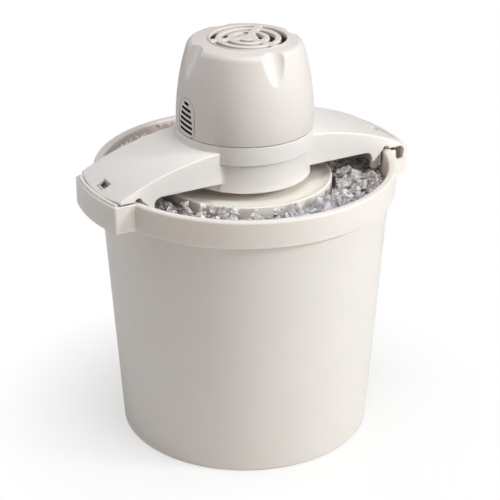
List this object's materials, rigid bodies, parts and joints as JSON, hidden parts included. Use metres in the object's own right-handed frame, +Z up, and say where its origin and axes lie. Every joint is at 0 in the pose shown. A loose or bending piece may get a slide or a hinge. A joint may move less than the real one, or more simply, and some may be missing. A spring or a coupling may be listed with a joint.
{
  "type": "electric ice cream freezer",
  "caption": "Tall plastic ice bucket with an aluminium canister that turns round a fixed dasher, driven by a lift-off motor unit that bridges the rim on two arms.",
  "frame": {"origin": "centre of the bucket's foot ring, on the surface it stands on", "axes": "+Z up along the canister's axis; +X along the bridge arms, from one bucket ear to the other; +Y to the side where the cord gland is"},
  "size_m": [0.306, 0.272, 0.3706],
  "materials": {
    "cream_plastic": "satin moulded plastic",
    "lid_plastic": "satin moulded plastic, a little warmer",
    "white_plastic": "natural acetal",
    "black_plastic": "matt",
    "ice": "wet translucent ice",
    "can_aluminium": "brushed",
    "steel": "zinc plated",
    "lamination_steel": "stacked sheet",
    "bronze": "sintered",
    "copper": "enamelled wire"
  },
  "bodies": {
    "bucket": {"bucket": "cream_plastic", "crushed_ice": "ice"},
    "power_head": {"bridge_frame": "cream_plastic", "gear_case_cover": "cream_plastic", "case_screws": "steel", "hub_washer": "white_plastic", "stem_socket": "steel", "socket_screws": "steel", "second_gear_pin": "steel", "plate_bush": "bronze", "gear_plate": "steel", "plate_screws": "steel", "motor_spacers": "can_aluminium", "lower_bracket": "can_aluminium", "lower_bush": "bronze", "stator": "lamination_steel", "shading_rings": "copper", "bobbin": "black_plastic", "winding": "copper", "upper_bracket": "can_aluminium", "upper_bush": "bronze", "motor_screws": "steel", "terminal_block": "white_plastic", "motor_cover": "cream_plastic", "cover_screws": "steel", "cord_gland": "black_plastic"},
    "dasher": {"dasher": "white_plastic"},
    "canister": {"canister": "can_aluminium"},
    "lid": {"canister_lid": "lid_plastic"},
    "output_gear": {"output_gear": "white_plastic"},
    "second_gear": {"second_gear": "white_plastic"},
    "first_gear": {"first_pinion": "steel", "first_gear_shaft": "steel", "first_gear": "white_plastic"},
    "rotor": {"rotor": "lamination_steel", "rotor_shaft": "steel", "motor_pinion": "bronze", "thrust_washers": "white_plastic", "fan": "black_plastic", "fan_clip": "steel"}
  },
  "joints": [
    {"name": "motor_lift", "type": "slide", "parent": "bucket", "child": "power_head", "axis": [0, 0, 1], "range_m": [0, 0.4]},
    {"name": "canister_lift", "type": "slide", "parent": "bucket", "child": "dasher", "axis": [0, 0, 1], "range_m": [0, 0.25]},
    {"name": "canister_spin", "type": "hinge", "parent": "dasher", "child": "canister", "pos_m": [0, 0, 0], "axis": [0, 0, 1], "continuous": true},
    {"name": "lid_lift", "type": "slide", "parent": "canister", "child": "lid", "axis": [0, 0, 1], "range_m": [0, 0.1]},
    {"name": "output_gear_spin", "type": "hinge", "parent": "power_head", "child": "output_gear", "pos_m": [0, 0, 0.26], "axis": [0, 0, 1], "continuous": true},
    {"name": "second_gear_spin", "type": "hinge", "parent": "power_head", "child": "second_gear", "pos_m": [0.02357, 0.02416, 0.26], "axis": [0, 0, 1], "continuous": true},
    {"name": "first_gear_spin", "type": "hinge", "parent": "power_head", "child": "first_gear", "pos_m": [0.02332, -0.00184, 0.27], "axis": [0, 0, 1], "continuous": true},
    {"name": "rotor_spin", "type": "hinge", "parent": "power_head", "child": "rotor", "pos_m": [0.00332, -0.00184, 0.31], "axis": [0, 0, 1], "continuous": true}
  ],
  "couplings": [
    {"joint": "canister_lift", "follows": "motor_lift", "ratio": 0.625},
    {"joint": "lid_lift", "follows": "motor_lift", "ratio": 0.25},
    {"joint": "output_gear_spin", "follows": "canister_spin", "ratio": 1},
    {"joint": "second_gear_spin", "follows": "canister_spin", "ratio": -3.5},
    {"joint": "first_gear_spin", "follows": "canister_spin", "ratio": 11.667},
    {"joint": "rotor_spin", "follows": "canister_spin", "ratio": -46.667}
  ]
}
